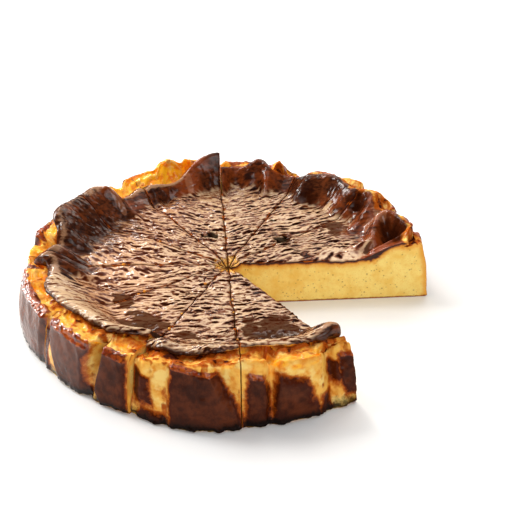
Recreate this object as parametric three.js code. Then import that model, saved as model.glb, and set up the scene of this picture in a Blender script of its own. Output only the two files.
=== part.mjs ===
import * as THREE from "three";

// A basque cheesecake cut in twelve, of which ten slices stand together and two are gone.
// Millimetres and degrees, +Z up. The origin is the middle of the flat underside, azimuth 0 is
// along +X and azimuths run counterclockwise. Each slice is its own closed solid.

// Driving sizes
const BASE_RADIUS = 127;
const HEEL_RISE = 1.6; // rounded lower edge of the wall
const HEEL_INSET = 1.4;
const SHOULDER = 1.5; // rounded upper edge of the wall
const WALL_BELLY = 1.2; // how far the wall swells at half its height
const MIDDLE_HEIGHT = 30.5; // top skin at the middle of the sunken top
const TORN_DROP = 2; // how far the torn skin falls in at the very middle
const KERF = 0.7; // gap that the knife left between slices

// The rim where no fold changes it: radius and height of each ring of its section
const RIM = {
  wall: [124, 39], // top of the crust that stood against the paper
  ledge: [115, 38], // pale band set back under the burnt skin
  lip: [110, 41.5], // edge of the burnt skin
  crest: [106.5, 42.5], // highest line of the skin
  foot: [86, 29], // where the skin comes down to the sunken top
};

// Points that go with a ring, as [out, up] from it
const SHELF = [-4, -0.4]; // behind the top of the wall
const UNDER_LIP = [-0.5, -2.6];
const LIP_NOSE = [0.8, -1.6];

// Azimuths of the cuts. The first and last face the gap that two slices left.
const CUTS = [3, 38.5, 66.5, 92.5, 122, 147.5, 179, 211, 243.5, 273, 305];
const CUT_INSET = 0.1; // relief is read this far inside a cut, so a fold can end at it

// Folds of the rim. Each is strongest at its azimuth, eases out over the degrees before and
// after it, and moves rings by [out, up].
const FOLDS = [
  // lip over the cut
  { at: 3, before: 1, after: 6, wall: [-1.5, 0], ledge: [3, 1], lip: [3, -1],
    crest: [3, -1.5], foot: [-7] },
  // hook, end
  { at: 11, before: 8, after: 15, wall: [0, -2], ledge: [7, -3], lip: [9, -5], crest: [9, -6], foot: [6] },
  // hook, arm
  { at: 24, before: 9, after: 7, wall: [-1, -2], ledge: [4, -1], lip: [6, -3.5], crest: [3, -4.5], foot: [4] },
  // toasted knob
  { at: 34, before: 7, after: 9, wall: [-1, 4], ledge: [3, 3], lip: [7, 4], crest: [7, 4], foot: [9] },
  // toasted slope of the wall's top
  { at: 45, before: 9, after: 13, wall: [1, 3] },
  // broad bump
  { at: 50, before: 15, after: 15, ledge: [2, 1], lip: [5, 3.5], crest: [4.5, 4], foot: [10] },
  // low edge
  { at: 68, before: 9, after: 8, wall: [0, -6], ledge: [3, -6], lip: [8, -8.5],
    crest: [9, -8], foot: [13] },
  // curl
  { at: 72, before: 2.4, after: 3.4, wall: [-3, 7], ledge: [2, 2] },
  // knob
  { at: 79, before: 6, after: 6, wall: [0, -1], ledge: [3, 0], lip: [7, 3.5], crest: [7, 3.5], foot: [15] },
  // saddle
  { at: 87, before: 8, after: 6, wall: [0, -1], ledge: [3, -3], lip: [8, -4],
    crest: [8, -3.5], foot: [17] },
  // tall flap
  { at: 92.6, before: 0.1, after: 17, wall: [0, 2], ledge: [4, 4], lip: [6, 8],
    crest: [5.5, 9], foot: [15] },
  // wall that stands bare above the low fold
  { at: 109, before: 13, after: 10, wall: [-2, 7] },
  // low fold
  { at: 112, before: 12, after: 14, ledge: [-5, -4.5], lip: [-5, -6], crest: [-3.5, -6.5], foot: [11] },
  // small fold
  { at: 130.5, before: 16, after: 5, wall: [0, -4], ledge: [-4, -7], lip: [-3, -8.5],
    crest: [-1.5, -8.5], foot: [5] },
  // big flap
  { at: 141, before: 8, after: 16, wall: [0, -2], ledge: [4, 2], lip: [6, 5],
    crest: [5.5, 5.5], foot: [2] },
  // fanned flap
  { at: 159, before: 17, after: 9, wall: [0, -3], ledge: [3, 1], lip: [8, 7],
    crest: [7.5, 7.5], foot: [3] },
  // gap in the rim
  { at: 171.5, before: 5, after: 6, wall: [0, -3], ledge: [-3, -8], lip: [-1, -8.5],
    crest: [0, -7.5], foot: [7] },
  // lifted flap
  { at: 182, before: 6, after: 7, wall: [0, -6], ledge: [2, -6], lip: [9, -3],
    crest: [8, -2.5], foot: [-2] },
  // left crust
  { at: 203, before: 13, after: 20, wall: [0.5, -5], ledge: [1, -4], lip: [6, 0.5],
    crest: [5, -0.5], foot: [-8] },
  // drawn-in crust
  { at: 243.4, before: 14, after: 0.1, wall: [0, -1], ledge: [-5, -3], lip: [-10, -2.5],
    crest: [-9, -2.5], foot: [-4] },
  // torn corner
  { at: 243.6, before: 0.1, after: 8, wall: [0, -2], ledge: [-6, -7], lip: [-5, -6],
    crest: [-4.5, -5.5], foot: [-2] },
  // front crust
  { at: 256, before: 9, after: 10, wall: [0, -1], ledge: [-1, -3], lip: [0, -3],
    crest: [0, -3], foot: [-5] },
  // front shoulder
  { at: 275, before: 10, after: 20, wall: [0, 3], ledge: [-1, 1], lip: [-3, 1.5],
    crest: [-2, 1], foot: [-5] },
  // opening of the notch
  { at: 280.3, before: 3, after: 3.5, ledge: [-1, -6] },
  // end knob
  { at: 302, before: 8, after: 6, wall: [-7, -4], ledge: [-2, 0], lip: [1.5, 4],
    crest: [1, 4], foot: [-3] },
];

// Creases that the baking paper pressed into the wall. Lean is the turn in degrees from the
// base to the top of the wall, and notch is how far a crease lowers the wall's top.
const CREASES = [
  { at: 170, before: 3, after: 3, depth: 3.5, lean: 1, notch: 2 },
  { at: 184, before: 2.5, after: 2.5, depth: 2, lean: -1, notch: 1 },
  { at: 211.5, before: 3, after: 3, depth: 3.5, lean: 2, notch: 2 },
  { at: 231.5, before: 2.6, after: 3.2, depth: 9, lean: 3, notch: 5 },
  { at: 243.6, before: 0.1, after: 4, depth: 5, lean: 0, notch: 3 },
  { at: 254, before: 3, after: 1, depth: 1.6, lean: 0, notch: 0 },
  { at: 270.5, before: 2, after: 5, depth: 3.2, lean: -7, notch: 3 },
  { at: 280.6, before: 2, after: 2.4, depth: 4.5, lean: 1, notch: 7 },
  { at: 298.6, before: 6.5, after: 2, depth: 5.5, lean: 1, notch: 5 },
];

// Round the back the same paper creases follow one another at uneven steps
const BACK_CREASES = {
  from: 12,
  to: 160,
  step: 13,
  stray: 3,
  depth: 3.2,
  reach: 3,
  lean: 4,
  notch: 1.2,
  reachSpread: 0.3, // share by which one differs from the next
  depthSpread: 0.4,
  seed: 11,
};

// Share of a crease's depth at the base of the wall, and of the wall's relief on the shelf and
// on the ledge
const CREASE_AT_BASE = 0.35;
const RELIEF_ON_SHELF = 0.8;
const RELIEF_ON_LEDGE = 0.4;

// Swellings (+) and hollows (-) of the top skin: azimuth and radius of the middle, reach along
// the azimuth in degrees and along the radius in millimetres, and height
const LUMPS = [
  // hollow of the hook
  { at: 14, radius: 108, turn: 6, reach: 8, height: -8 },
  // dip beside the arm
  { at: 31.5, radius: 92, turn: 6, reach: 10, height: -1.5 },
  // dark hole
  { at: 36, radius: 106, turn: 4, reach: 5, height: -6 },
  // hollow under the low fold
  { at: 115, radius: 95, turn: 6, reach: 6, height: -3.5 },
  // lobe of the small fold
  { at: 127, radius: 93, turn: 5, reach: 9, height: 2.5 },
  // dip in the broad bump
  { at: 57, radius: 98, turn: 7, reach: 8, height: -2 },
  // hollow behind the crust
  { at: 237, radius: 88, turn: 9, reach: 7, height: -4 },
  // shadowed slope
  { at: 288, radius: 84, turn: 14, reach: 8, height: -2 },
  // left swell
  { at: 150, radius: 60, turn: 40, reach: 35, height: 1 },
];

// Rolls of the skin that don't follow the rim: azimuth and radius of each bend of the roll's
// line, half its width, and its height
const ROLLS = [
  // hook
  { line: [[13, 94], [18, 98], [21.5, 103], [22, 108.5], [19.5, 113], [15, 115.5], [9, 117], [5, 119]],
    width: 7.5, height: 8 },
  // lip beside the hook's hollow
  { line: [[6.5, 92], [8, 104], [7.5, 113]], width: 4, height: 3 },
  // edge of the big flap
  { line: [[134, 80], [134.5, 87], [136, 97], [138, 106]], width: 6, height: 4.5 },
  // edge of the lifted flap
  { line: [[185.5, 117], [187, 104], [189, 88]], width: 6, height: 4.5 },
  // crease of the small fold
  { line: [[121.5, 112], [121.5, 88]], width: 3.5, height: -2 },
];

// Where the wall as a whole stands out or falls in: millimetres at its base, middle and top
const LEANS = [
  { at: 194, before: 18, after: 16, out: [2.1, 3, 1.4] },
  { at: 262, before: 18.5, after: 19, out: [3.6, 1.5, 0] },
  { at: 303, before: 8, after: 4, out: [0, -1.5, -1] },
];

// Mesh fineness
const COLUMN_STEP = 1.5; // degrees between the sections of a slice, about
const WALL_STEPS = 6;
const FLOOR_STOPS = [0.86, 0.7, 0.53, 0.36, 0.2, 0.09]; // share of the foot's radius
const SLOPE_STOPS = [0.22, 0.44, 0.64, 0.83]; // from the crest down to the foot
const BASE_STOP = 0.5; // share of the base's radius
const ROUND_SLOPE = 0.5; // share of the slope's form that is eased, the rest being straight

// Factors of the repeatable draw
const DRAW_TURN = 12.9898;
const DRAW_STEP = 78.233;
const DRAW_SCALE = 43758.5453;

const { degToRad: radians, lerp, clamp } = THREE.MathUtils;

// Signed turn from one azimuth to another, between -180 and 180
function turn(from, to) {
  return ((to - from + 540) % 360) - 180;
}

// 1 at the middle of a reach, easing to 0 at its end
function ease(share) {
  return share >= 1 ? 0 : 0.5 + 0.5 * Math.cos(Math.PI * share);
}

function swell(azimuth, feature) {
  const away = turn(feature.at, azimuth);
  return ease(away < 0 ? -away / feature.before : away / feature.after);
}

// Repeatable draw between -1 and 1
function draw(seed, index) {
  const value = Math.sin(seed * DRAW_TURN + index * DRAW_STEP) * DRAW_SCALE;
  return 2 * (value - Math.floor(value)) - 1;
}

function backCreases() {
  const { from, to, step, stray, depth, reach, lean, notch, seed } = BACK_CREASES;
  const { reachSpread, depthSpread } = BACK_CREASES;
  const count = Math.floor((to - from) / step);
  return Array.from({ length: count }, (_, index) => ({
    at: from + index * step + stray * draw(seed, index),
    before: reach * (1 + reachSpread * draw(seed + 1, index)),
    after: reach * (1 + reachSpread * draw(seed + 2, index)),
    depth: depth * (1 + depthSpread * draw(seed + 3, index)),
    lean: lean * draw(seed + 4, index),
    notch: notch * (1 + draw(seed + 5, index)),
  }));
}

const ALL_CREASES = [...CREASES, ...backCreases()];

// Radius and height of every ring of the rim at one azimuth
function rimAt(azimuth) {
  const rim = {};
  for (const [ring, [radius, height]] of Object.entries(RIM)) {
    rim[ring] = { radius, height };
  }
  for (const fold of FOLDS) {
    const share = swell(azimuth, fold);
    for (const ring of Object.keys(RIM)) {
      const [out = 0, up = 0] = fold[ring] ?? [];
      rim[ring].radius += share * out;
      rim[ring].height += share * up;
    }
  }
  rim.wall.height -= creaseMeasure("notch", azimuth, 1);
  return rim;
}

// The largest value of one measure of the creases at an azimuth and a share of the wall's height
function creaseMeasure(measure, azimuth, share) {
  return ALL_CREASES.reduce((largest, crease) => {
    const there = { ...crease, at: crease.at + crease.lean * (share - 0.5) };
    return Math.max(largest, crease[measure] * swell(azimuth, there));
  }, 0);
}

// How far creases and leans move the wall at a share of its height, 0 at the base
function wallRelief(azimuth, share) {
  const out = LEANS.reduce((sum, lean) => {
    const [base, middle, top] = lean.out;
    const here = share < 0.5 ? lerp(base, middle, 2 * share) : lerp(middle, top, 2 * share - 1);
    return sum + here * swell(azimuth, lean);
  }, 0);
  const inward = creaseMeasure("depth", azimuth, share) * Math.min(1, CREASE_AT_BASE + share);
  return out - inward;
}

function polar(azimuth, radius) {
  return new THREE.Vector2(radius, 0).rotateAround(new THREE.Vector2(), radians(azimuth));
}

// Distance from a point to a line of straight stretches
function distanceTo(line, point) {
  const bends = line.map(([azimuth, radius]) => polar(azimuth, radius));
  const stretches = bends.slice(1).map((end, index) => {
    const along = end.clone().sub(bends[index]);
    const share = point.clone().sub(bends[index]).dot(along) / along.lengthSq();
    return bends[index].clone().addScaledVector(along, clamp(share, 0, 1)).distanceTo(point);
  });
  return Math.min(...stretches);
}

// What lumps and rolls add to the height of the top skin
function skinRelief(azimuth, radius) {
  const lumps = LUMPS.reduce((sum, lump) => {
    const alongTurn = turn(lump.at, azimuth) / lump.turn;
    const alongRadius = (radius - lump.radius) / lump.reach;
    return sum + lump.height * ease(Math.hypot(alongTurn, alongRadius));
  }, 0);
  const point = polar(azimuth, radius);
  return ROLLS.reduce((sum, { line, width, height }) => {
    return sum + height * ease(distanceTo(line, point) / width);
  }, lumps);
}

// The section of the cake at one azimuth as [radius, height] points, from the middle of the
// underside, round the outside, to the middle of the top
function sectionAt(azimuth) {
  const { wall, ledge, lip, crest, foot } = rimAt(azimuth);
  const onTop = (radius, height) => [radius, height + skinRelief(azimuth, radius)];
  const beside = (ring, [out, up]) => [ring.radius + out, ring.height + up];
  const points = [[0, 0]];
  points.push([BASE_STOP * BASE_RADIUS, 0]);
  points.push([BASE_RADIUS - HEEL_INSET + wallRelief(azimuth, 0), 0]);
  for (let step = 0; step <= WALL_STEPS; step += 1) {
    const share = step / WALL_STEPS;
    const height = HEEL_RISE + share * (wall.height - SHOULDER - HEEL_RISE);
    const straight = BASE_RADIUS + share * (wall.radius - BASE_RADIUS);
    const belly = WALL_BELLY * Math.sin(Math.PI * share);
    points.push([straight + belly + wallRelief(azimuth, share), height]);
  }
  const topRelief = wallRelief(azimuth, 1);
  points.push(beside(wall, [topRelief - SHOULDER, 0]));
  points.push(beside(wall, [RELIEF_ON_SHELF * topRelief + SHELF[0], SHELF[1]]));
  points.push(beside(ledge, [RELIEF_ON_LEDGE * topRelief, 0]));
  points.push(beside(lip, UNDER_LIP));
  points.push(beside(lip, LIP_NOSE));
  points.push(onTop(lip.radius, lip.height));
  points.push(onTop(crest.radius, crest.height));
  for (const share of SLOPE_STOPS) {
    const radius = crest.radius + share * (foot.radius - crest.radius);
    const rise = lerp(1 - share, ease(share), ROUND_SLOPE);
    points.push(onTop(radius, foot.height + rise * (crest.height - foot.height)));
  }
  points.push(onTop(foot.radius, foot.height));
  for (const stop of FLOOR_STOPS) {
    const floor = MIDDLE_HEIGHT + (foot.height - MIDDLE_HEIGHT) * stop * stop;
    points.push(onTop(stop * foot.radius, floor));
  }
  points.push([0, MIDDLE_HEIGHT - TORN_DROP]);
  return points;
}

// A closed wedge between two azimuths: one section for each column, all of them meeting on the
// axis, and a flat cut face at either side
function sliceGeometry(from, to) {
  const columns = Math.round((to - from) / COLUMN_STEP);
  const sections = [];
  for (let column = 0; column <= columns; column += 1) {
    const azimuth = from + ((to - from) * column) / columns;
    const read = clamp(azimuth, from + CUT_INSET, to - CUT_INSET);
    sections.push({ azimuth: radians(azimuth), points: sectionAt(read) });
  }
  const ringCount = sections[0].points.length - 2;
  const positions = [0, 0, 0, 0, 0, sections[0].points.at(-1)[1]];
  for (const { azimuth, points } of sections) {
    for (const [radius, height] of points.slice(1, -1)) {
      positions.push(radius * Math.cos(azimuth), radius * Math.sin(azimuth), height);
    }
  }
  const [under, over] = [0, 1];
  const at = (column, ring) => {
    if (ring < 0) return under;
    return ring < ringCount ? 2 + column * ringCount + ring : over;
  };
  const faces = [];
  for (let column = 0; column < columns; column += 1) {
    faces.push(under, at(column + 1, 0), at(column, 0));
    for (let ring = 0; ring < ringCount - 1; ring += 1) {
      const [a, b] = [at(column, ring), at(column + 1, ring)];
      const [c, d] = [at(column + 1, ring + 1), at(column, ring + 1)];
      faces.push(a, b, c, a, c, d);
    }
    faces.push(at(column, ringCount - 1), at(column + 1, ringCount - 1), over);
  }
  for (const column of [0, columns]) {
    const outline = sections[column].points.map(([radius, height]) => new THREE.Vector2(radius, height));
    for (const corners of THREE.ShapeUtils.triangulateShape(outline, [])) {
      const [a, b, c] = corners.map((index) => at(column, index - 1));
      faces.push(...(column === 0 ? [a, b, c] : [a, c, b]));
    }
  }
  const geometry = new THREE.BufferGeometry();
  geometry.setAttribute("position", new THREE.Float32BufferAttribute(positions, 3));
  geometry.setIndex(faces);
  geometry.computeVertexNormals();
  return geometry;
}

const cake = new THREE.Group();
const burntCream = new THREE.MeshStandardMaterial({ color: "#6b3a22", roughness: 0.55, metalness: 0 });

for (let index = 0; index < CUTS.length - 1; index += 1) {
  const [from, to] = [CUTS[index], CUTS[index + 1]];
  const slice = new THREE.Mesh(sliceGeometry(from, to), burntCream);
  slice.name = `slice_${String(index + 1).padStart(2, "0")}`;
  // half the kerf is kept on either side by moving the slice out along its middle
  const middle = radians((from + to) / 2);
  const pull = KERF / 2 / Math.sin(radians((to - from) / 2));
  slice.position.set(pull * Math.cos(middle), pull * Math.sin(middle), 0);
  cake.add(slice);
}

export default cake;
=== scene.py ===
import bpy
import numpy as np
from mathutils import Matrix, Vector
from mathutils.geometry import delaunay_2d_cdt


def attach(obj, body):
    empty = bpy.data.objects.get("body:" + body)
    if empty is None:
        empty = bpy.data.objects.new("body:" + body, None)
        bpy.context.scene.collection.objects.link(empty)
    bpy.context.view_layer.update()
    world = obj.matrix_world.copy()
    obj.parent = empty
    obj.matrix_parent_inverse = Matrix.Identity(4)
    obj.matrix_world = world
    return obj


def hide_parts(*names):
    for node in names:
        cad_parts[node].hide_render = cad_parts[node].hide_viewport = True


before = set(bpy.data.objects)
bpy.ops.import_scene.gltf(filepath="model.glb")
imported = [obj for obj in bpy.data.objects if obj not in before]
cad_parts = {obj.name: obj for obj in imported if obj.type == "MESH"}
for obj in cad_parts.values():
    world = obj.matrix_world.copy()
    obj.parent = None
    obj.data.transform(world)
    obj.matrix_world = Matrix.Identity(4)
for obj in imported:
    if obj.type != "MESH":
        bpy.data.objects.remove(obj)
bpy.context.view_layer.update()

mm = 0.001  # the form is worked out in millimetres and degrees, as it was drawn


# camera first: it stands 0.9 m from the middle of the underside and looks down 33 degrees
cameraSettings = {
    "place": (0.0, -0.7548, 0.4902),
    "aim": (0.0180, 0.0168, 0.0259),  # sets the cake low and a little left in the picture
    "lens": 98.6,
    "sensor": 36.0,
}


def aimAt(thing, target):
    direction = Vector(target) - thing.location
    thing.rotation_euler = direction.to_track_quat("-Z", "Y").to_euler()


def addObject(name, data):
    made = bpy.data.objects.new(name, data)
    bpy.context.collection.objects.link(made)
    return made


def addMesh(name, corners, faces, layers):
    mesh = bpy.data.meshes.new(name)
    mesh.from_pydata(corners, [], faces)
    for layer, values in layers.items():
        mesh.attributes.new(layer, "FLOAT", "POINT").data.foreach_set("value", values.astype(np.float32))
    mesh.polygons.foreach_set("use_smooth", np.ones(len(faces), dtype=bool))
    mesh.update()
    return addObject(name, mesh)


def makeCamera(settings):
    data = bpy.data.cameras.new("camera")
    data.lens = settings["lens"]
    data.sensor_width = settings["sensor"]
    data.clip_start = 0.01
    camera = addObject("camera", data)
    camera.location = settings["place"]
    aimAt(camera, settings["aim"])
    bpy.context.scene.camera = camera


makeCamera(cameraSettings)
print("camera placed")


# sizes of the cake, the same as its solids have
cake = {
    "baseRadius": 127.0,
    "heelRise": 1.6,
    "heelInset": 1.4,
    "shoulder": 1.5,
    "belly": 1.2,
    "middleHeight": 30.5,
    "tornDrop": 2.0,
    "kerf": 0.7,
    "cutInset": 0.1,
    "creaseAtBase": 0.35,
    "reliefOnShelf": 0.8,
    "reliefOnLedge": 0.4,
    "wallSteps": 6,
    "columnStep": 0.3,  # degrees
    "arcRadius": 120.0,  # where the wall's grain is measured
    "slopeStops": (0.22, 0.44, 0.64, 0.83),
    "floorStops": (0.86, 0.7, 0.53, 0.36, 0.2, 0.09),
    "cuts": (3, 38.5, 66.5, 92.5, 122, 147.5, 179, 211, 243.5, 273, 305),
}

# rings of the rim where no fold changes it: radius and height
rim = {"wall": (124, 39), "ledge": (115, 38), "lip": (110, 41.5), "crest": (106.5, 42.5), "foot": (86, 29)}

# folds: azimuth, reach before and after it, then how far each ring moves out and up
folds = (
    (3, 1, 6, (-1.5, 0), (3, 1), (3, -1), (3, -1.5), (-7, 0)),  # lip over the cut
    (11, 8, 15, (0, -2), (7, -3), (9, -5), (9, -6), (6, 0)),  # end of the hook
    (24, 9, 7, (-1, -2), (4, -1), (6, -3.5), (3, -4.5), (4, 0)),  # arm of the hook
    (34, 7, 9, (-1, 4), (3, 3), (7, 4), (7, 4), (9, 0)),  # toasted knob
    (45, 9, 13, (1, 3), (0, 0), (0, 0), (0, 0), (0, 0)),  # toasted slope of the wall's top
    (50, 15, 15, (0, 0), (2, 1), (5, 3.5), (4.5, 4), (10, 0)),  # broad bump
    (68, 9, 8, (0, -6), (3, -6), (8, -8.5), (9, -8), (13, 0)),  # low edge
    (72, 2.4, 3.4, (-3, 7), (2, 2), (0, 0), (0, 0), (0, 0)),  # curl
    (79, 6, 6, (0, -1), (3, 0), (7, 3.5), (7, 3.5), (15, 0)),  # knob
    (87, 8, 6, (0, -1), (3, -3), (8, -4), (8, -3.5), (17, 0)),  # saddle
    (92.6, 0.1, 17, (0, 2), (4, 4), (6, 8), (5.5, 9), (15, 0)),  # tall flap
    (109, 13, 10, (-2, 7), (0, 0), (0, 0), (0, 0), (0, 0)),  # wall that stands bare above the low fold
    (112, 12, 14, (0, 0), (-5, -4.5), (-5, -6), (-3.5, -6.5), (11, 0)),  # low fold
    (130.5, 16, 5, (0, -4), (-4, -7), (-3, -8.5), (-1.5, -8.5), (5, 0)),  # small fold
    (141, 8, 16, (0, -2), (4, 2), (6, 5), (5.5, 5.5), (2, 0)),  # big flap
    (159, 17, 9, (0, -3), (3, 1), (8, 7), (7.5, 7.5), (3, 0)),  # fanned flap
    (171.5, 5, 6, (0, -3), (-3, -8), (-1, -8.5), (0, -7.5), (7, 0)),  # gap in the rim
    (182, 6, 7, (0, -6), (2, -6), (9, -3), (8, -2.5), (-2, 0)),  # lifted flap
    (203, 13, 20, (0.5, -5), (1, -4), (6, 0.5), (5, -0.5), (-8, 0)),  # left crust
    (243.4, 14, 0.1, (0, -1), (-5, -3), (-10, -2.5), (-9, -2.5), (-4, 0)),  # drawn-in crust
    (243.6, 0.1, 8, (0, -2), (-6, -7), (-5, -6), (-4.5, -5.5), (-2, 0)),  # torn corner
    (256, 9, 10, (0, -1), (-1, -3), (0, -3), (0, -3), (-5, 0)),  # front crust
    (275, 10, 20, (0, 3), (-1, 1), (-3, 1.5), (-2, 1), (-5, 0)),  # front shoulder
    (280.3, 3, 3.5, (0, 0), (-1, -6), (0, 0), (0, 0), (0, 0)),  # opening of the notch
    (302, 8, 6, (-7, -4), (-2, 0), (1.5, 4), (1, 4), (-3, 0)),  # end knob
)

# paper creases in the wall: azimuth, reach before and after, depth, lean and notch in the top
creases = [
    (170, 3, 3, 3.5, 1, 2),
    (184, 2.5, 2.5, 2, -1, 1),
    (211.5, 3, 3, 3.5, 2, 2),
    (231.5, 2.6, 3.2, 9, 3, 5),
    (243.6, 0.1, 4, 5, 0, 3),
    (254, 3, 1, 1.6, 0, 0),
    (270.5, 2, 5, 3.2, -7, 3),
    (280.6, 2, 2.4, 4.5, 1, 7),
    (298.6, 6.5, 2, 5.5, 1, 5),
]
backCreases = {"from": 12, "to": 150, "step": 13, "stray": 3, "depth": 3.2, "reach": 3, "lean": 4,
               "notch": 1.2, "reachSpread": 0.3, "depthSpread": 0.4, "seed": 11}

# hollows and swellings of the top: azimuth, radius, reach in degrees and millimetres, height
lumps = (
    (14, 108, 6, 8, -8),  # hollow of the hook
    (31.5, 92, 6, 10, -1.5),  # dip beside the arm
    (36, 106, 4, 5, -6),  # dark hole
    (115, 95, 6, 6, -3.5),  # hollow under the low fold
    (127, 93, 5, 9, 2.5),  # lobe of the small fold
    (57, 98, 7, 8, -2),  # dip in the broad bump
    (237, 88, 9, 7, -4),  # hollow behind the crust
    (288, 84, 14, 8, -2),  # shadowed slope
    (150, 60, 40, 35, 1),  # left swell
)

# rolls of the skin: bends as azimuth and radius, half the width, height
rolls = (
    # hook
    (((13, 94), (18, 98), (21.5, 103), (22, 108.5), (19.5, 113), (15, 115.5), (9, 117), (5, 119)), 7.5, 8),
    (((6.5, 92), (8, 104), (7.5, 113)), 4, 3),  # lip beside the hook's hollow
    (((134, 80), (134.5, 87), (136, 97), (138, 106)), 6, 4.5),  # edge of the big flap
    (((185.5, 117), (187, 104), (189, 88)), 6, 4.5),  # edge of the lifted flap
    (((121.5, 112), (121.5, 88)), 3.5, -2),  # crease of the small fold
)

# where the whole wall stands out or falls in, at its base, middle and top
leans = (
    (194, 18, 16, (2.1, 3, 1.4)),
    (262, 18.5, 19, (3.6, 1.5, 0)),
    (303, 8, 4, (0, -1.5, -1)),
)


def turnFrom(at, azimuth):
    return (azimuth - at + 540.0) % 360.0 - 180.0


def easeOut(share):
    return 0.5 + 0.5 * np.cos(np.pi * np.minimum(share, 1))


def swell(azimuth, at, before, after):
    away = turnFrom(at, azimuth)
    return easeOut(np.where(away < 0, -away / before, away / after))


def smooth(value, low, high):
    share = np.clip((value - low) / (high - low), 0, 1)
    return share * share * (3 - 2 * share)


# what a table of pairs, place and value, gives at a place
def readTable(table, at):
    return np.interp(at, *zip(*table))


def draw(seed, index):
    value = np.sin(seed * 12.9898 + index * 78.233) * 43758.5453
    return 2 * (value - np.floor(value)) - 1


def addBackCreases(settings):
    seed = settings["seed"]
    for index, at in enumerate(range(settings["from"], settings["to"], settings["step"])):
        at += settings["stray"] * draw(seed, index)
        reach = [settings["reach"] * (1 + settings["reachSpread"] * draw(seed + k, index)) for k in (1, 2)]
        depth = settings["depth"] * (1 + settings["depthSpread"] * draw(seed + 3, index))
        lean = settings["lean"] * draw(seed + 4, index)
        notch = settings["notch"] * (1 + draw(seed + 5, index))
        creases.append((at, *reach, depth, lean, notch))


addBackCreases(backCreases)


def makeGrain(seed):
    picker = np.random.default_rng(seed)
    order = np.tile(picker.permutation(256), 2)
    slopes = picker.normal(size=(256, 3))
    slopes /= np.linalg.norm(slopes, axis=1)[:, None]

    def grain(x, y, z=0.0):
        place = np.broadcast_arrays(x, y, z)
        corner = [np.floor(value).astype(int) for value in place]
        inside = [value - whole for value, whole in zip(place, corner)]
        fade = [t * t * t * (t * (6 * t - 15) + 10) for t in inside]
        total = np.zeros(place[0].shape)
        for step in np.ndindex(2, 2, 2):
            index, weight, value = 0, 1.0, 0.0
            for axis in range(3):
                index = order[index + ((corner[axis] + step[axis]) & 255)]
                weight = weight * (fade[axis] if step[axis] else 1 - fade[axis])
            for axis in range(3):
                value = value + slopes[index, axis] * (inside[axis] - step[axis])
            total += weight * value
        return 1.6 * total

    return grain


grain = makeGrain(5)


# layers of grain: height, size and offset of each
def layered(x, y, *coats):
    return sum(height * grain(x / size, y / size, offset) for height, size, offset in coats)


def rimAt(azimuth):
    rings = {name: [np.full(azimuth.shape, float(size)) for size in pair] for name, pair in rim.items()}
    for at, before, after, *moves in folds:
        share = swell(azimuth, at, before, after)
        for ring, (out, up) in zip(rings.values(), moves):
            ring[0] += share * out
            ring[1] += share * up
    rings["wall"][1] -= creaseMeasure("notch", azimuth, 1)
    return rings.values()


def creaseMeasure(part, azimuth, share):
    largest = np.zeros(azimuth.shape)
    for at, before, after, depth, lean, notch in creases:
        size = notch if part == "notch" else depth
        largest = np.maximum(largest, size * swell(azimuth, at + lean * (share - 0.5), before, after))
    return largest


def wallRelief(azimuth, share):
    out = 0.0
    for at, before, after, (base, middle, top) in leans:
        here = np.interp(share, (0, 0.5, 1), (base, middle, top))
        out = out + here * swell(azimuth, at, before, after)
    return out - creaseMeasure("depth", azimuth, share) * min(1, cake["creaseAtBase"] + share)


def polar(azimuth, radius):
    return radius * np.cos(np.radians(azimuth)), radius * np.sin(np.radians(azimuth))


def distanceTo(line, x, y):
    nearest = np.full(np.shape(x), 1e9)
    for (ax, ay), (bx, by) in zip(line, line[1:]):
        alongX, alongY = bx - ax, by - ay
        share = ((x - ax) * alongX + (y - ay) * alongY) / max(alongX ** 2 + alongY ** 2, 1e-9)
        share = np.clip(share, 0, 1)
        nearest = np.minimum(nearest, np.hypot(x - ax - share * alongX, y - ay - share * alongY))
    return nearest


def skinRelief(azimuth, radius):
    height = 0.0
    for at, middle, reachTurn, reach, rise in lumps:
        away = np.hypot(turnFrom(at, azimuth) / reachTurn, (radius - middle) / reach)
        height = height + rise * easeOut(away)
    x, y = polar(azimuth, radius)
    for line, width, rise in rolls:
        height = height + rise * easeOut(distanceTo([polar(*bend) for bend in line], x, y) / width)
    return height


# control points of the section, from the middle of the underside round to the middle of the top
marks = {"heel": 2, "wallTop": 9, "shelf": 11, "underLip": 13, "nose": 14, "lip": 15, "crest": 16,
         "middle": 28}
# how many rings the fine mesh has between one control point and the next
ringSteps = (4, 8, 3) + (9,) * 6 + (4, 5, 11, 7, 3, 3, 7) + (8,) * 5 + (20, 24, 25, 25, 22, 14, 10)


# how far the underside of the lip lies below its edge, from azimuth to azimuth
lipDepth = ((0, 2.6), (30, 2.6), (60, 3), (90, 3.5), (136, 2.6), (180, 3), (196, 4), (235, 3.5), (243, 2.6),
            (248, 3.6), (262, 3.2), (268, 1.8), (293, 1.6), (298, 8.5), (305, 9.5))


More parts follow.
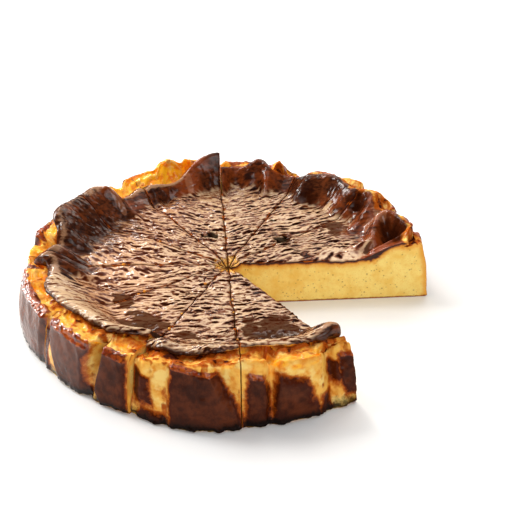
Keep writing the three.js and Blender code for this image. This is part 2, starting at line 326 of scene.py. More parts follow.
def sectionControls(azimuth):
    (wall, wallHeight), (ledge, ledgeHeight), (lip, lipHeight), *inner = rimAt(azimuth)
    (crest, crestHeight), (foot, footHeight) = inner
    x, y = polar(azimuth, 110.0)
    wobble = layered(x, y, (1.1, 9, 5.5), (0.5, 3.5, 9.5))
    ragged = layered(x, y, (0.8, 7, 15.5), (0.45, 2.6, 19.5))
    lip = lip + wobble
    wallHeight = wallHeight + ragged
    still = np.zeros(azimuth.shape)
    base = cake["baseRadius"]
    points = [(still, still), (still + 0.5 * base, still),
              (base - cake["heelInset"] + wallRelief(azimuth, 0.0), still)]
    for share in np.arange(cake["wallSteps"] + 1) / cake["wallSteps"]:
        height = cake["heelRise"] + share * (wallHeight - cake["shoulder"] - cake["heelRise"])
        straight = base + share * (wall - base)
        belly = cake["belly"] * np.sin(np.pi * share)
        points.append((straight + belly + wallRelief(azimuth, share), height))
    top = wallRelief(azimuth, 1.0)
    under = readTable(lipDepth, azimuth) * (1 + 0.5 * grain(x / 5, y / 5, 27.5))
    points += [
        (wall - cake["shoulder"] + top, wallHeight),
        (wall - 4 + cake["reliefOnShelf"] * top, wallHeight - 0.4),
        (ledge + cake["reliefOnLedge"] * top, ledgeHeight),
        (lip - 2.2, lipHeight - under),
        (lip + 0.7, lipHeight - 0.55 * under),
        (lip, lipHeight + skinRelief(azimuth, lip)),
        (crest, crestHeight + skinRelief(azimuth, crest)),
    ]
    for share in cake["slopeStops"]:
        radius = crest + share * (foot - crest)
        rise = 0.5 * (0.5 + 0.5 * np.cos(np.pi * share)) + 0.5 * (1 - share)
        points.append((radius, footHeight + rise * (crestHeight - footHeight) + skinRelief(azimuth, radius)))
    points.append((foot, footHeight + skinRelief(azimuth, foot)))
    for stop in cake["floorStops"]:
        radius = stop * foot
        floor = cake["middleHeight"] + (footHeight - cake["middleHeight"]) * stop * stop
        points.append((radius, floor + skinRelief(azimuth, radius)))
    points.append((still, still + cake["middleHeight"] - cake["tornDrop"]))
    return np.array(points)  # control, radius or height, azimuth


def fineSection(azimuth):
    points = sectionControls(azimuth).transpose(2, 0, 1)  # azimuth, control, radius or height
    chord = np.linalg.norm(np.diff(points, axis=1), axis=2)
    lead = np.zeros(points.shape)
    through = points[:, 2:] - points[:, :-2]
    through /= np.maximum(np.linalg.norm(through, axis=2), 1e-6)[..., None]
    lead[:, 1:-1] = through * np.minimum(chord[:, 1:], chord[:, :-1])[..., None]
    whole = np.repeat(np.arange(len(ringSteps)), ringSteps)
    share = np.concatenate([np.arange(count) / count for count in ringSteps])
    t = share[:, None]
    curve = ((2 * t ** 3 - 3 * t ** 2 + 1) * points[:, whole] + (t ** 3 - 2 * t ** 2 + t) * lead[:, whole]
             + (3 * t ** 2 - 2 * t ** 3) * points[:, whole + 1] + (t ** 3 - t ** 2) * lead[:, whole + 1])
    return np.concatenate([curve, points[:, -1:]], axis=1), np.append(whole + share, len(ringSteps))


# dark panels that the paper pressed on the wall: left and right edge as (height, azimuth), lowest
# height, height of the top at its left and right end, how wide the toasted band above it is, and
# how sharply the right edge and the top stop, 1 being as sharp as the left edge
panels = (
    (((0, 182), (20, 182), (36, 181)), ((0, 214), (12, 213.5), (24, 212), (36, 210)), 1,
     (34.5, 33.5), 5, 1, 1),
    (((0, 218.5), (8, 217.5), (24, 214.8), (38, 213)), ((0, 232), (12, 229), (26, 229.2), (35, 231)), 1,
     (36, 34), 4, 0.7, 1),
    (((0, 235), (12, 232.6), (30, 233.2), (38, 234)), ((0, 243.2), (38, 242.6)), 1, (36.5, 35), 4, 0.8, 1),
    (((13, 243.9), (30, 243.9)), ((13, 250), (30, 249)), 13, (30, 28), 0, 0.3, 0.4),
    (((0, 245), (9, 247)), ((0, 255), (9, 253)), -2, (9, 6), 0, 0.4, 0.5),
    (((0, 254.8), (38, 254.9)), ((0, 273.2), (10, 273.2), (23, 270.5), (36, 266.6)), -1,
     (38, 34), 1.6, 0.6, 0.8),
    (((0, 274.0), (38, 274.6)), ((0, 280.5), (23, 280.3), (38, 277.8)), -1, (34, 32), 2.2, 0.5, 0.7),
    (((0, 281.2), (17, 281.6), (37, 283)), ((0, 296), (6, 294), (14, 292), (29, 290.2), (38, 288)), 0,
     (33, 27), 0, 0.4, 0.35),
    (((2, 294), (14, 294.6)), ((2, 297.6), (14, 297.4)), 2, (13, 12), 0, 0.4, 0.4),
    (((18, 298.6), (28, 298.4)), ((18, 301), (28, 300.6)), 18, (28, 27), 0, 0.4, 0.5),
    (((6, 302.6), (16, 301.4), (34, 302.2)), ((0, 305.5), (36, 305.5)), 7, (30, 31), 1, 1, 0.8),
)
backPanels = {"from": 8, "to": 170, "inset": 1.5, "top": 2.0, "stray": 2.0, "band": 3.5,
              "bareFrom": 92, "bareTo": 138, "seed": 31}

# relief that only the fine skin has, heights in millimetres
skinLook = {
    "wrinkle": 0.75,
    "lap": 0.45,
    # how much painted shade the wrinkles' slopes that face the front get
    "shadedSlopeShare": 1.8,
    "crack": 0.5,
    "swelling": 0.7,
    "crinkle": 0.24,
    "billow": 0.3,
    "cutEdge": 0.5,
    "tornRadius": 7.0,
    "tornDepth": 1.0,
    "fan": 0.75,
    "fanPivot": (145, 84),
    "fanSpan": (160, 14, 13),  # azimuth, reach before and after it
    # the plate's skin, pale partly with painted sheen, reaches the lip between these azimuths
    "plateFrom": 188,  # between these azimuths the pale skin reaches the lip
    "plateTo": 301,
    "plateReach": 4.9,
    "lipCalm": (210, 25, 30),  # where the skin near the lip is smoother
    # painted shade in the rim's hollows and on faces turned from the light, then painted highlights: azimuth,
    # radius, reach in degrees and millimetres
    "hollowShade": ((12, 109, 9, 11), (36, 106, 5, 7), (303, 116, 7, 3), (183, 101, 4, 10), (57, 98, 5, 5)),
    "glint": ((23, 103, 4, 11), (137, 98, 1.5, 10), (105, 99, 1.5, 8)),
    # pits that a bubble left: azimuth, radius, size, depth
    "pits": ((106.6, 36.3, 4.4, 2.8), (41.1, 45.6, 4.6, 2.8), (141, 72.3, 2.4, 1.6), (62, 62, 1.8, 1)),
    # dark smooth patches, whose colour is painted shade where the skin tilts towards the front, then wet
    # ones: azimuth, radius, reach in degrees and millimetres
    "calmShade": ((287, 79, 17, 18), (268, 90, 6, 5), (233, 82, 12, 13), (212, 74, 8, 6), (31, 84, 10, 10),
             (9, 93, 4, 6), (252, 80, 7, 4)),
    "wet": ((221, 75, 6, 5), (204, 73, 4, 4), (234, 83, 6, 5), (141, 76, 4, 4), (289, 82, 12, 9),
            (250, 104, 8, 3), (200, 112, 8, 3), (262, 106, 8, 2.5)),
}
wallLook = {
    "padRise": 1.3,
    "bandRise": 0.8,
    "grain": 0.3,
    "fold": 0.5,
    "heel": 1.3,
    "heelHeight": 6.0,
    "ledgeLump": 1.9,
    "ledgeGrain": 0.6,
    "blister": 1.8,
}

# how things change from azimuth to azimuth: how toasted the pale crust under the lip is, how much painted
# sheen the rim's crest gets, how reddish its skin is, and how much sheen the wall has, as coat and as painted
# light on its panels
toastRound = ((0, 0.6), (30, 0.62), (60, 0.5), (66, 0.3), (90, 0.15), (96, 0.05), (130, 0.05), (140, 0.3),
              (165, 0.3), (185, 0.22), (200, 0.26), (235, 0.34), (243, 0.45), (250, 0.52), (266, 0.46),
              (276, 0.36), (290, 0.3), (305, 0.45))
crestSheenRound = ((0, 0.1), (20, 0.3), (26, 0.6), (32, 0.1), (60, 0.15), (95, 0.05), (103, 0.2), (110, 0.95),
             (121, 0.95), (126, 0.6), (133, 0.5), (139, 0.7), (150, 0.35), (162, 0.5), (172, 0.6), (177, 0.9),
             (184, 0.9), (188, 0.5), (195, 1), (305, 1))
warmRound = ((0, 0.7), (24, 0.8), (34, 0.4), (50, 0.15), (66, 0.2), (74, 0.6), (86, 0.7), (92, 0.6),
             (93, 0.1), (99, 0.2), (103, 0.9), (108, 0.9), (116, 0.4), (140, 0.25), (165, 0.1), (305, 0.1))
sheenRound = ((0, 0.2), (170, 0.3), (182, 1), (213, 1), (217, 0.8), (231, 0.6), (235, 0.3), (245, 0.1),
              (305, 0.1))
# place on the section where the plate, pale partly with painted sheen, starts: 15 is the lip's edge, 21 the
# foot of the slope
startRound = ((0, 21.2), (26, 21.2), (36, 20.4), (50, 20.1), (66, 20.1), (92, 20.1), (104, 20.3), (112, 20.8),
              (121, 20.9), (130, 21.3), (141, 21.6), (150, 21.4), (162, 21.1), (172, 20.6), (182, 20.8),
              (190, 20.4), (198, 19.9), (305, 19.9))


# how far the golden crust climbs over the lip, in steps of the section from its nose
goldRound = ((0, 2.4), (8, 2.2), (14, 1.6), (22, 1.2), (28, 1.8), (36, 2.2), (46, 1.7), (54, 0.4), (60, -3),
             (262, -3), (268, 0.2), (294, 0.2), (298, -3), (305, -3))


def addBackPanels(settings):
    made = []
    ends = sorted(crease for crease in creases if crease[0] <= settings["to"])
    ends = [(settings["from"], 0, 0, 0, 0, 0), *ends]
    for index, (before, after) in enumerate(zip(ends, ends[1:])):
        sides = []
        for crease, inset in ((before, settings["inset"]), (after, -settings["inset"])):
            at = crease[0] + inset + 0.4 * draw(settings["seed"], index)
            sides.append(((0, at - crease[4] / 2), (rim["ledge"][1], at + crease[4] / 2)))
        strays = [settings["stray"] * draw(settings["seed"] + end, index) for end in (1, 2)]
        tops = [rim["wall"][1] - settings["top"] + stray for stray in strays]
        bare = settings["bareFrom"] < before[0] < settings["bareTo"]
        made.append((*sides, 0, tops, 0 if bare else settings["band"], 0.8, 0.8))
    return made


allPanels = (*panels, *addBackPanels(backPanels))


# how far inside a panel each point of the wall is, and how much of the toasted band over a panel it has
def panelMeasures(azimuth, along, atTop, radius, height):
    inside = np.full(radius.shape, -8.0)
    band = np.zeros(radius.shape)
    arc = np.radians(azimuth) * cake["arcRadius"]
    for left, right, low, (topLeft, topRight), reach, softRight, softTop in allPanels:
        scale = np.radians(1.0) * radius
        fromLeft = turnFrom(readTable(left, height), azimuth) * scale
        toRight = turnFrom(azimuth, readTable(right, height)) * scale
        share = np.clip(fromLeft / np.maximum(fromLeft + toRight, 1), 0, 1)
        top = topLeft + share * (topRight - topLeft)
        sideways = np.minimum(fromLeft, toRight * np.where(toRight > 0, softRight, 1))
        beyond = along - along[:, atTop, None] + height[:, atTop, None] - top
        below = -beyond * np.where(beyond < 0, softTop, 1)
        above = (height - low) * (softTop if low > 3 else 1)
        inside = np.maximum(inside, np.minimum(sideways, np.minimum(above, below)))
        if reach:
            ragged = reach * (1 + 0.5 * grain(arc / 5, 3.3, 25.5))
            over = smooth(beyond, -2.5, 0) * (1 - smooth(beyond, ragged - 1, ragged + 1.5))
            band = np.maximum(band, over * smooth(sideways, -1.5, 1.5))
    return inside, band


# folds of the plate's skin, which lie one over the other towards the front
def wrinkled(x, y):
    broad, middle = grain(x / 6.5, y / 2.3, 3.5), grain(x / 3.3, y / 1.25, 11.5)
    return broad + 0.5 * middle + 0.2 * grain(x / 1.7, y / 0.8, 13.5)


# how deep inside one of some patches each point lies, with a ragged edge
def inPatches(patches, azimuth, radius, ragged, inner):
    measure = np.zeros(radius.shape)
    for at, middle, reachTurn, reach in patches:
        away = np.hypot(turnFrom(at, azimuth) / reachTurn, (radius - middle) / reach) + ragged
        measure = np.maximum(measure, 1 - smooth(away, inner, 1.1))
    return measure


def fineRelief(azimuth, place, radius, height, cutFrom, cutTo):
    look, wallSet = skinLook, wallLook
    steps = (np.diff(values, axis=1, prepend=0) for values in (radius, height))
    along = np.cumsum(np.hypot(*steps), axis=1)
    atTop = np.argmin(np.abs(place - marks["wallTop"]))
    azimuth = azimuth[:, None] + 0 * radius
    place = place + 0 * radius
    x, y = polar(azimuth, radius)
    arc = np.radians(azimuth) * cake["arcRadius"]
    skin = smooth(place, marks["underLip"] + 0.3, marks["nose"])
    front = smooth(turnFrom(look["plateFrom"], azimuth), 0, 9)
    front = front * (1 - smooth(turnFrom(look["plateTo"], azimuth), 0, 6))
    start = readTable(startRound, azimuth) - look["plateReach"] * front + 2.0 * swell(azimuth, 301, 6, 6)
    start = start + 0.7 * swell(azimuth, 254, 10, 9)
    start = start + (1 - 0.6 * front) * layered(x, y, (1.2, 9, 17.5), (0.9, 3, 15.5))
    plate = skin * smooth(place, start - 0.8, start + 0.8)
    slope = skin - plate
    wall = smooth(place, 2.0, 3.0) * (1 - smooth(place, 9.6, 10.4))
    ledge = smooth(place, 9.8, 10.6) * (1 - skin)

    # leathery plate
    fanY = y - 0.3 * np.abs(x) * smooth(y, -25, 25)
    wideX = x + 5 * grain(x / 30, y / 30, 1.5)
    wideY = fanY + 4 * grain(x / 24, y / 24, 7.5)
    rough = 0.65 + 0.35 * smooth(grain(x / 18, y / 11, 33.5), -0.35, 0.3)
    lap = look["lap"]
    # slope of the wrinkles: where the skin rises towards the back it faces the front, and its colour gets
    # painted shade
    shadedSlope = rough * (wrinkled(wideX, wideY + lap) - wrinkled(wideX, wideY - lap)) / (2 * lap)
    crack = np.clip(1.25 - np.abs(grain(wideX / 9, wideY / 2.8, 21.5)) / 0.1, 0, 1)
    crack = crack * smooth(grain(x / 7, y / 5, 23.5), -0.1, 0.3)
    ragged = 0.5 * grain(wideX / 8, wideY / 3.5, 19.5)
    calmShade, wet = (inPatches(look[name], azimuth, radius, ragged, 0.6) for name in ("calmShade", "wet"))
    wet *= smooth(grain(wideX / 3, wideY / 1.5, 29.5), 0.15, 0.3)
    lipCalm = front * (1 - smooth(place, 17, 20.5)) * swell(azimuth, *look["lipCalm"])
    quiet = 1 - np.maximum(0.6 * calmShade, 0.5 * lipCalm)
    lively = plate * quiet
    plateRelief = look["wrinkle"] * rough * wrinkled(wideX, wideY) - look["crack"] * crack
    rise = lively * plateRelief + plate * look["swelling"] * grain(wideX / 16, wideY / 8, 31.5)
    rise += 0.5 * wet * skin

    # rim skin
    crinkle = grain(wideX / 4, wideY / 2.2, 41.5) + 0.6 * grain(x / 1.7, y / 1.7, 43.5)
    rise += slope * (look["crinkle"] * crinkle + look["billow"] * grain(arc / 12, radius / 20, 45.5))
    pivotX, pivotY = polar(*look["fanPivot"])
    around = np.degrees(np.arctan2(y - pivotY, x - pivotX))
    reachOut = np.hypot(x - pivotX, y - pivotY)
    fanMask = swell(azimuth, *look["fanSpan"]) * smooth(radius, 86, 96) * skin
    fanned = grain(around / 8 + 0.8 * grain(reachOut / 14, 3.3, 5.5), reachOut / 30, 51.5)
    rise += fanMask * look["fan"] * (fanned - 0.4 * np.clip(1 - np.abs(fanned) / 0.25, 0, 1))

    # pits that a bubble left
    pit = np.zeros(radius.shape)
    for at, middle, size, depth in look["pits"]:
        pitX, pitY = polar(at, middle)
        away = np.hypot((x - pitX) / 1.35, y - pitY) / size + 0.5 * grain(x / 2.4, y / 2.4, 37.5)
        pit = np.maximum(pit, 1 - smooth(away, 0.55, 1.0))
        rise += 0.5 * np.exp(-((away - 1.15) / 0.25) ** 2) - depth * (1 - smooth(away, 0.3, 1.0))

    # cut edges
    turnToCut = np.clip(np.minimum(azimuth - cutFrom, cutTo - azimuth), 0, 90)
    toCut = radius * np.sin(np.radians(turnToCut))
    edge = np.exp(-(toCut / 0.8) ** 2) * (0.8 + 0.5 * grain(x / 4, y / 4, 71.5))
    rise -= skin * look["cutEdge"] * edge

    # torn skin in the middle
    tornEdge = look["tornRadius"] + layered(x, y, (3.5, 5, 61.5), (2.0, 1.8, 63.5)) + 2 * edge
    torn = (1 - smooth(radius, tornEdge - 0.7, tornEdge + 0.7)) * plate
    rise += torn * (-look["tornDepth"] + 0.7 * grain(x / 3, y / 3, 65.5) - lively * plateRelief)

    # wall
    panel, band = panelMeasures(azimuth, along, atTop, radius, height)
    warp = layered(arc, height, (0.9, 5, 81.5), (0.5, 1.8, 83.5))
    panel = np.clip(panel + warp, -8, 8)
    outside = wall + ledge
    rise += wall * wallSet["padRise"] * smooth(panel, -1.0, 1.6)
    rise += outside * band * (wallSet["bandRise"] + 0.5 * grain(arc / 3, along / 3, 55.5))
    rough = grain(arc / 6, height / 8, 85.5) + 0.5 * grain(arc / 2, height / 2.5, 87.5)
    rise += wall * wallSet["grain"] * rough
    bent = grain((arc + 0.3 * height) / 13, height / 45, 89.5)
    ridge = np.clip(1 - np.abs(bent) / 0.3, 0, 1)
    rise += wall * wallSet["fold"] * (ridge - 0.4) * smooth(panel, -1, 2)
    foldLine = smooth(ridge, 0.8, 1.0) * smooth(grain(arc / 12, height / 12, 57.5), -0.2, 0.3)
    foldLine = foldLine * smooth(panel, 0, 2)
    heelShare = 1 - smooth(height, 0.4, wallSet["heelHeight"])
    rough = grain(arc / 4, height / 2, 91.5) + 0.6 * grain(arc / 1.6, 5.5, 93.5)
    rise += wall * wallSet["heel"] * heelShare * rough
    lump = grain(arc / 9, along / 3.2, 95.5)
    rise += ledge * (wallSet["ledgeLump"] * lump + wallSet["ledgeGrain"] * grain(x / 2.6, y / 2.6, 97.5))
    blister = np.clip(grain(x / 4.5, y / 4.5, 99.5) - 0.25, 0, 1)
    toast = readTable(toastRound, azimuth)
    rise += ledge * wallSet["blister"] * toast * blister

    crest = np.exp(-((place - 16.1) / 0.75) ** 2) * skin
    ragged = 0.3 * grain(x / 4, y / 4, 67.5)
    shadow, glint = (inPatches(look[name], azimuth, radius, ragged, 0.5) for name in ("hollowShade", "glint"))
    gold = readTable(goldRound, azimuth) + marks["nose"] - place + 0.7 * grain(x / 4, y / 4, 47.5)
    gold = smooth(gold, -0.25, 0.25)

    masks = dict(
        skin=skin * (1 - gold),
        # painted sheen on the rim's crest
        crestSheen=crest * readTable(crestSheenRound, azimuth),
        warm=readTable(warmRound, azimuth),
        sheen=readTable(sheenRound, azimuth),
        # painted shade in the rim's hollows and on faces turned from the light, and painted highlights
        hollowShade=shadow * slope,
        glint=glint * slope,
        plate=plate,
        calmShade=calmShade * plate,
        wet=wet * skin,
        torn=torn,
        pit=pit,
        # painted shade on the wrinkles' front slopes and in their cracks
        wrinkleShade=np.maximum(np.clip(look["shadedSlopeShare"] * shadedSlope, -0.6, 1), 0.7 * crack) * quiet,
        cutEdge=edge * skin,
        panel=panel,
        band=band,
        wall=wall,
        foldLine=foldLine * wall,
        toast=toast + 0.35 * lump + 0.4 * smooth(blister, 0.02, 0.3),
        shade=smooth(place, marks["shelf"] + 0.5, marks["underLip"]) * (1 - skin),
    )
    return rise, masks


# cut faces: spacing of the points that fill them, and how rough the knife left them
cutLook = {
    "openSpacing": 0.75,  # beside the gap
    "hiddenSpacing": 5.0,  # between two slices
    "pore": 0.45,
    "unevenness": 0.25,
    "drag": 0.12,
    "waver": 1.0,  # how far a cut strays from a straight line
    "smear": (92, 9, 2.2),  # skin that the knife dragged down: radius, reach, how far
}


def isOpen(cut):
    return cut in (0, len(cake["cuts"]) - 1)


def wavered(corners, index, cutFrom, cutTo):
    x, y = corners.T[:2]
    radius = np.maximum(np.hypot(x, y), 1e-6)
    azimuth = cutFrom + turnFrom(cutFrom, np.degrees(np.arctan2(y, x)))
    share = np.clip((azimuth - cutFrom) / (cutTo - cutFrom), 0, 1)
    stray = 0.0
    for cut, weight in ((index, 1 - share), (index + 1, share)):
        size = cutLook["waver"] * (0.3 if isOpen(cut) else 1)
        row = 3.7 * cut + 0.5
        wave = grain(radius / 11, row, 131.5) + 0.5 * grain(radius / 4, row, 133.5)
        stray = stray + weight * size * wave * smooth(radius, 2, 14)
    turned = stray / radius
    corners[:, 0] = x * np.cos(turned) - y * np.sin(turned)
    corners[:, 1] = x * np.sin(turned) + y * np.cos(turned)


def insideOutline(points, outline):
    x, y = points.T[..., None]
    ax, ay = outline.T
    bx, by = np.roll(ax, -1), np.roll(ay, -1)
    crosses = ((ay > y) != (by > y)) & (x < (bx - ax) * (y - ay) / np.where(by == ay, 1e-9, by - ay) + ax)
    return crosses.sum(axis=1) % 2 == 1


def fillCut(outline, spacing, seed):
    picker = np.random.default_rng(seed)
    steps = (np.arange(int(most / spacing)) + 0.5 for most in outline.max(axis=0))
    grid = np.stack(np.meshgrid(*steps), axis=-1).reshape(-1, 2)
    grid[:, 0] += 0.5 * (grid[:, 1] % 2 - 0.5)
    grid = (grid + picker.uniform(-0.15, 0.15, grid.shape)) * spacing
    grid = grid[insideOutline(grid, outline)]
    closed = np.vstack([outline, outline[:1]])
    grid = grid[distanceTo(closed, *grid.T) > 0.45 * spacing]
    corners = [Vector(point) for point in np.vstack([outline, grid])]
    found, _, faces, origins, _, _ = delaunay_2d_cdt(corners, [], [list(range(len(outline)))], 1, 1e-7)
    return np.array(found), faces, origins


def buildSlice(index):
    cutFrom, cutTo = cake["cuts"][index], cake["cuts"][index + 1]
    columns = round((cutTo - cutFrom) / cake["columnStep"])
    azimuth = np.linspace(cutFrom, cutTo, columns + 1)
    read = np.clip(azimuth, cutFrom + cake["cutInset"], cutTo - cake["cutInset"])
    points, place = fineSection(read)
    radius, height = points[..., 0], points[..., 1]
    rise, masks = fineRelief(azimuth, place, radius, height, cutFrom, cutTo)
    alongRadius, alongHeight = np.gradient(radius, axis=1), np.gradient(height, axis=1)
    length = np.maximum(np.hypot(alongRadius, alongHeight), 1e-6)
    fade = smooth(place, 2.0, 2.6) * (1 - smooth(place, marks["middle"] - 0.02, marks["middle"]))
    radius = np.maximum(radius + fade * rise * alongHeight / length, 0.0)
    height = np.maximum(height - fade * rise * alongRadius / length, 0.0)

    rings = len(place) - 2
    body = np.stack([*polar(azimuth[:, None], radius), height], axis=-1)[:, 1:-1].reshape(-1, 3)
    corners = [np.array([[0, 0, 0], [0, 0, height[0, -1]]]), body]
    total = 2 + len(body)
    layers = {name: [np.concatenate([mask[0, [0, -1]], mask[:, 1:-1].reshape(-1)])]
              for name, mask in masks.items()}
    layers["skinDepth"], layers["sideDepth"] = [np.zeros(total)], [np.zeros(total)]

    column, ring = np.meshgrid(np.arange(columns), np.arange(rings - 1), indexing="ij")
    first = (2 + column * rings + ring).reshape(-1)
    faces = np.stack([first, first + rings, first + rings + 1, first + 1], axis=-1).tolist()
    for step in range(columns):
        lowest, innermost = 2 + step * rings, 1 + (step + 1) * rings
        faces.append([0, lowest + rings, lowest])
        faces.append([innermost, innermost + rings, 1])
    crustFaces = len(faces)

    for column, side, cut in ((0, 1, index), (columns, -1, index + 1)):
        outline = np.stack([radius[column], height[column]], axis=-1)
        names = [0, *range(2 + column * rings, 2 + (column + 1) * rings), 1]
        spacing = cutLook["openSpacing" if isOpen(cut) else "hiddenSpacing"]
        found, triangles, origins = fillCut(outline, spacing, index * 2 + column)
        skinLine = outline[place >= marks["lip"] + 0.6]
        sideLine = outline[(place >= marks["heel"]) & (place <= marks["lip"] + 0.6)]
        smearAt, smearReach, smearDepth = cutLook["smear"]
        smear = smearDepth * easeOut(np.abs(found[:, 0] - smearAt) / smearReach)
        ragged = 1 + grain(*found.T / 2, 119.5)
        depths = {"skinDepth": distanceTo(skinLine, *found.T) - smear * ragged,
                  "sideDepth": distanceTo(sideLine, *found.T)}
        own = np.array([next((origin for origin in group if origin < len(outline)), -1) for group in origins])
        fresh, onEdge = np.flatnonzero(own < 0), np.flatnonzero(own >= 0)
        numbers = np.array(names)[own]
        numbers[fresh] = total + np.arange(len(fresh))
        for name, depth in depths.items():
            layers[name][0][numbers[onEdge]] = depth[onEdge]
            layers[name].append(depth[fresh])
        for name in masks:
            layers[name].append(np.zeros(len(fresh)))
        across, up = found[fresh].T
        inward = cutLook["unevenness"] * (1 + grain(across / 14, up / 9, 111.5 + index))
        inward += cutLook["drag"] * (1 + grain(across / 11, up / 1.3, 113.5 + index))
        inward += cutLook["pore"] * smooth(grain(across / 1.7, up / 1.7, 115.5 + index), 0.3, 0.7)
        edgeFade = smooth(distanceTo(outline, across, up), 0.2, 2.0)
        inward = inward * edgeFade * (1 if isOpen(cut) else 0.3) * side
        turned = np.radians(azimuth[column])
        corners.append(np.stack([across * np.cos(turned) - inward * np.sin(turned),
                                 across * np.sin(turned) + inward * np.cos(turned), up], axis=-1))
        total += len(fresh)
        for triangle in triangles:
            named = numbers[list(triangle)].tolist()
            faces.append(named if side == 1 else named[::-1])

    corners = np.vstack(corners)
    wavered(corners, index, cutFrom, cutTo)
    pull = cake["kerf"] / 2 / np.sin(np.radians((cutTo - cutFrom) / 2))
    corners[:, :2] += polar((cutFrom + cutTo) / 2, pull)
    layers = {name: np.concatenate(values) for name, values in layers.items()}
    piece = addMesh(f"cakeSlice{index + 1:02d}", (corners * mm).tolist(), faces, layers)
    onCut = np.arange(len(faces)) >= crustFaces
    piece.data.polygons.foreach_set("material_index", onCut.astype(np.int32))
    piece.data.set_sharp_from_angle(angle=np.radians(60))
    return piece


# shader maths
class Wire:
    def __init__(self, board, socket):
        self.board = board
        self.socket = socket

    def maths(self, operation, first, second):
        return self.board.node("ShaderNodeMath", {"operation": operation}, {0: first, 1: second})

    def __add__(self, other):
        return self.maths("ADD", self, other)

    def __radd__(self, other):
        return self.maths("ADD", other, self)

    def __sub__(self, other):
        return self.maths("SUBTRACT", self, other)

    def __rsub__(self, other):
        return self.maths("SUBTRACT", other, self)

    def __mul__(self, other):
        return self.maths("MULTIPLY", self, other)

    def __rmul__(self, other):
        return self.maths("MULTIPLY", other, self)

    def __truediv__(self, other):
        return self.maths("DIVIDE", self, other)

    def __rtruediv__(self, other):
        return self.maths("DIVIDE", other, self)


def linear(colour):
    parts = [value / 255 for value in colour]
    return (*[p / 12.92 if p <= 0.04045 else ((p + 0.055) / 1.055) ** 2.4 for p in parts], 1.0)


class Board:
    def __init__(self, name, colours):
        self.tones = {key: linear(value) for key, value in colours.items()}
        self.material = bpy.data.materials.new(name)
        self.material.use_nodes = True
        self.tree = self.material.node_tree
        self.tree.nodes.clear()
        self.place = self.node("ShaderNodeTexCoord", {}, {}, "Object")
        self.layers = {}

    def node(self, kind, settings, sockets, output=0):
        made = self.tree.nodes.new(kind)
        for name, value in settings.items():
            setattr(made, name, value)
        for name, value in sockets.items():
            if isinstance(value, Wire):
                self.tree.links.new(value.socket, made.inputs[name])
            else:
                made.inputs[name].default_value = value
        return Wire(self, made.outputs[output])

    def layer(self, name):
        if name not in self.layers:
            self.layers[name] = self.node("ShaderNodeAttribute", {"attribute_name": name}, {}, "Fac")
        return self.layers[name]

    def grain(self, size, detail=4.0, rough=0.55, warp=0.0, stretch=(1, 1, 1)):
        place = self.node("ShaderNodeVectorMath", {"operation": "MULTIPLY"}, {0: self.place, 1: stretch})
        return self.node("ShaderNodeTexNoise", {},
                         {"Vector": place, "Scale": 1 / (size * mm), "Detail": detail, "Roughness": rough,
                          "Distortion": warp}, "Fac")

    def cells(self, size):
        return self.node("ShaderNodeTexVoronoi", {},
                         {"Vector": self.place, "Scale": 1 / (size * mm)}, "Distance")

    def along(self, axis):
        return self.node("ShaderNodeSeparateXYZ", {}, {0: self.place}, axis) / mm

    def smooth(self, value, low, high):
        return self.node("ShaderNodeMapRange", {"interpolation_type": "SMOOTHSTEP"},
                         {"Value": value, "From Min": low, "From Max": high}, "Result")

    # each colour is a socket or the name of a tone
    def blend(self, share, first, second):
        first, second = (self.tones.get(colour, colour) for colour in (first, second))
        return self.node("ShaderNodeMix", {"data_type": "RGBA"}, {0: share, 6: first, 7: second}, 2)

    # lays colours over one, each where its value runs from one number to the other, and at most so strong
    def coats(self, colour, *coats):
        for over, value, none, full, *most in coats:
            share = self.smooth(value, none, full)
            colour = self.blend(most[0] * share if most else share, colour, over)
        return colour

    def finish(self, sockets, bumps):
        normal = {}
        for height, distance, strength in bumps:
            values = {"Height": height, "Distance": distance * mm, "Strength": strength}
            normal = {"Normal": self.node("ShaderNodeBump", {}, {**values, **normal})}
        shader = self.node("ShaderNodeBsdfPrincipled", {}, {**sockets, **normal})
        output = self.tree.nodes.new("ShaderNodeOutputMaterial")
        self.tree.links.new(shader.socket, output.inputs["Surface"])
        return self.material


crustColours = {
    "plateDark": (34, 9, 2),
    "plateMid": (114, 57, 26),
    # pale flats of the plate, here and in its ruddy part: partly their own colour, partly painted sheen
    "platePaleAndSheen": (204, 170, 132),
    "ruddyDark": (72, 28, 11),
    "ruddyPaleAndSheen": (212, 162, 118),
    # painted shade of the dark smooth patches
    "calmShade": (58, 19, 5),
    "rimDark": (42, 14, 5),
    "rimMid": (88, 44, 21),
    "rimWarm": (140, 62, 22),
    # painted sheen on the rim's crest
    "rimPaintedSheen": (164, 122, 90),
    # painted highlight on the rim
    "rimGlint": (176, 112, 74),
    "cream": (242, 184, 84),
    "creamPale": (248, 210, 122),
    "creamDeep": (226, 140, 44),
    "glossyYellow": (255, 178, 26),
    "glossyOrange": (236, 124, 10),
    "toast": (172, 80, 18),
    "toastDark": (68, 23, 7),
    "edge": (84, 32, 12),
    "band": (126, 42, 12),
    "panelDark": (52, 21, 11),
    "panelMid": (94, 43, 21),
    # painted light on the panels on the left
    "panelPaintedLight": (122, 66, 40),
    "char": (10, 5, 3),
}


